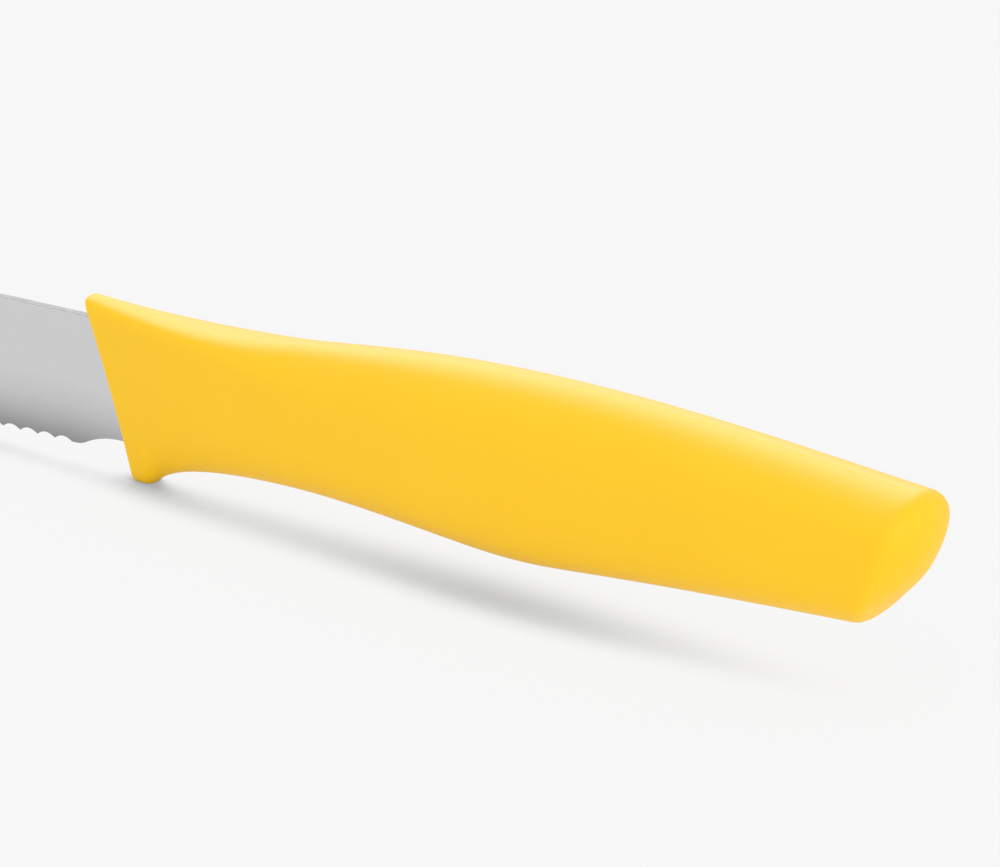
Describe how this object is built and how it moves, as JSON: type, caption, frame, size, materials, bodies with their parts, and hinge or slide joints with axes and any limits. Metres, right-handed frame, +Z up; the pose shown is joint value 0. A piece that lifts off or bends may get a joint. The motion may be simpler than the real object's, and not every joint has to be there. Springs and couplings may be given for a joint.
{
  "type": "serrated table knife",
  "caption": "Table knife with a serrated stainless steel blade and a contoured one-piece yellow plastic handle moulded round its tang.",
  "frame": {"origin": "on the table, at the flat foot of the handle's heel, in the middle of the blade's thickness", "axes": "+X along the table towards the butt, +Y towards the blade's right-hand side, +Z up from the table"},
  "size_m": [0.2197, 0.013, 0.0259],
  "materials": {
    "stainless_steel": "satin ground",
    "yellow_polypropylene": "satin as moulded"
  },
  "bodies": {
    "root": {"blade": "stainless_steel", "handle": "yellow_polypropylene"}
  },
  "joints": []
}
